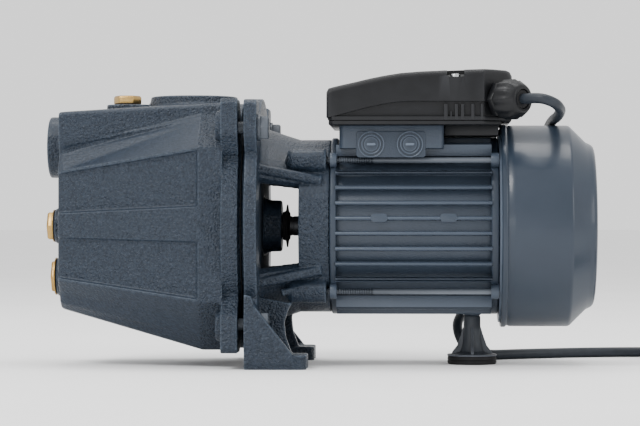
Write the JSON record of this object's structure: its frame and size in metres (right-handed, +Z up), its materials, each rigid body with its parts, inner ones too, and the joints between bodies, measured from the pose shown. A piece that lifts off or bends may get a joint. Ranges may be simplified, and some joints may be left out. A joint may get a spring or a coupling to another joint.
{
  "type": "shallow well jet pump",
  "caption": "Cast iron self-priming jet pump end on a finned electric motor with a fan cover, terminal box, support foot and a coiled mains lead.",
  "frame": {"origin": "on the ground, under the middle of the machine's bounding box, the lead and plug left out", "axes": "+X along the shaft towards the fan, +Z up, -Y the side with the knock-outs and the cable gland"},
  "size_m": [0.5401, 0.1953, 0.2041],
  "materials": {
    "cast_paint": "coarse hammered slate blue paint",
    "frame_paint": "satin slate blue paint on cast aluminium",
    "cover_paint": "satin slate blue paint",
    "rubber": "matt black rubber",
    "cable_rubber": "matt black rubber sheath",
    "brass": "turned brass",
    "pale_plastic": "moulded off-white plastic",
    "zinc_steel": "zinc plated steel",
    "dark_steel": "dark steel",
    "copper_wire": "varnished copper winding",
    "bare_aluminium": "cast aluminium",
    "black_plastic": "matt near-black moulded plastic"
  },
  "bodies": {
    "machine": {"pump_casing": "cast_paint", "pump_bracket": "cast_paint", "motor_frame": "frame_paint", "fan_cover": "cover_paint", "casing_gasket": "rubber", "support_foot_pad": "rubber", "gland_seal": "rubber", "power_cable": "cable_rubber", "cable_coil": "cable_rubber", "cable_tail": "cable_rubber", "plug_body": "cable_rubber", "ejector_nozzle": "brass", "venturi_tube": "pale_plastic", "diffuser": "pale_plastic", "seal_seat": "pale_plastic", "terminal_block": "pale_plastic", "front_bearing": "zinc_steel", "rear_bearing": "zinc_steel", "plug_pin_1": "zinc_steel", "plug_pin_2": "zinc_steel", "cover_screw_1": "zinc_steel", "cover_screw_2": "zinc_steel", "casing_bolt_1": "zinc_steel", "casing_bolt_2": "zinc_steel", "casing_bolt_3": "zinc_steel", "casing_bolt_4": "zinc_steel", "casing_bolt_washer_1": "zinc_steel", "casing_bolt_washer_2": "zinc_steel", "casing_bolt_washer_3": "zinc_steel", "casing_bolt_washer_4": "zinc_steel", "tie_rod_1": "zinc_steel", "tie_rod_2": "zinc_steel", "tie_rod_3": "zinc_steel", "tie_rod_4": "zinc_steel", "wave_washer": "dark_steel", "stator_core": "dark_steel", "front_winding": "copper_wire", "rear_winding": "copper_wire", "rear_end_shield": "bare_aluminium", "support_foot": "black_plastic", "box_base_plate": "black_plastic", "terminal_cover": "black_plastic", "run_capacitor": "black_plastic", "gland_body": "black_plastic", "gland_nut": "black_plastic"},
    "rotor": {"rotor_shaft": "dark_steel", "rotor_core": "dark_steel", "impeller": "brass", "impeller_nut": "brass", "seal_ring": "dark_steel", "seal_spring": "zinc_steel", "slinger": "rubber", "cooling_fan": "black_plastic"},
    "filling_plug": {"filling_plug": "brass", "filling_plug_washer": "rubber"},
    "front_plug": {"front_plug": "brass", "front_plug_washer": "rubber"},
    "drain_plug": {"drain_plug": "brass", "drain_plug_washer": "rubber"}
  },
  "joints": [
    {"name": "shaft_spin", "type": "hinge", "parent": "machine", "child": "rotor", "pos_m": [0, 0, 0.097], "axis": [1, 0, 0], "continuous": true},
    {"name": "filling_plug_out", "type": "slide", "parent": "machine", "child": "filling_plug", "axis": [0, 0, 1], "range_m": [0, 0.03]},
    {"name": "front_plug_out", "type": "slide", "parent": "machine", "child": "front_plug", "axis": [-1, 0, 0], "range_m": [0, 0.03]},
    {"name": "drain_plug_out", "type": "slide", "parent": "machine", "child": "drain_plug", "axis": [-1, 0, 0], "range_m": [0, 0.03]}
  ]
}
